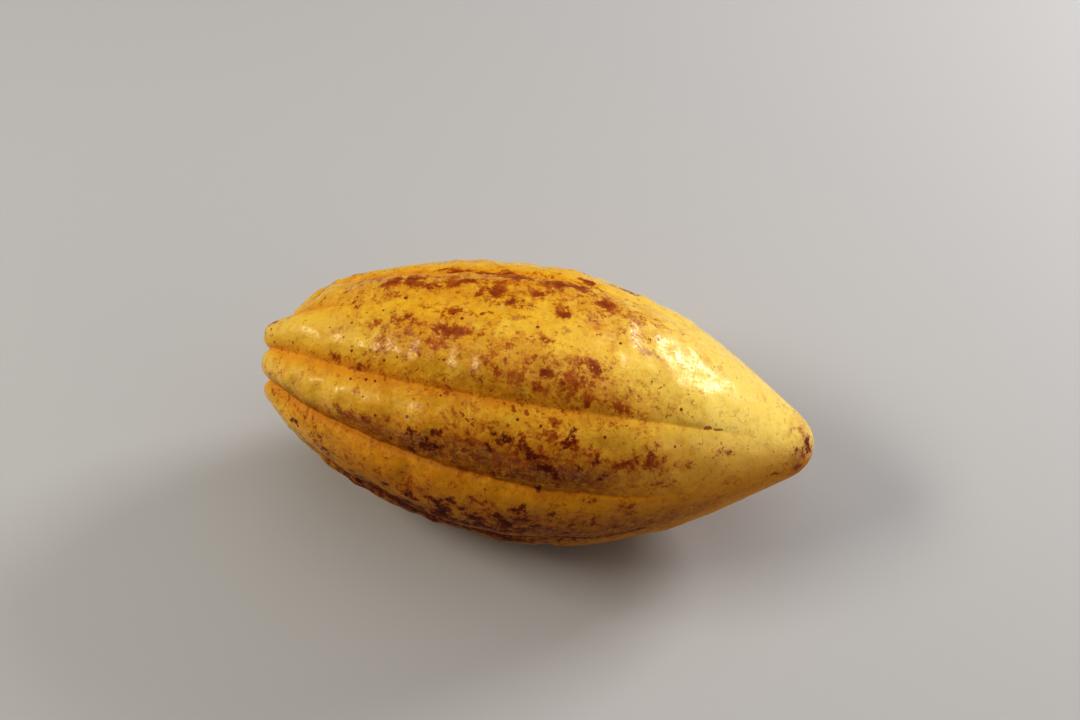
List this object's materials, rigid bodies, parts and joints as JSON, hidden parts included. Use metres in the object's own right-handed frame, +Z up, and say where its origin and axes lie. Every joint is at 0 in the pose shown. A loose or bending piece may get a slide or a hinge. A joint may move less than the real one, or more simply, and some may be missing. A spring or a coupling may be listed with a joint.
{
  "type": "cacao pod",
  "caption": "Ripe yellow cacao pod, ribbed and warty, picked with its stalk cut short, lying on its side; tapers to a blunt tip.",
  "frame": {"origin": "on the surface that the pod lies on, under the middle of its box", "axes": "+X along the pod from the stalk end to the tip, +Z up, -Y towards the side that shows"},
  "size_m": [0.18, 0.0904, 0.0889],
  "materials": {
    "ripe_skin": "thick waxy rind, satin to glossy, yellow with russet mottling"
  },
  "bodies": {
    "root": {"cacao_pod": "ripe_skin"}
  },
  "joints": []
}
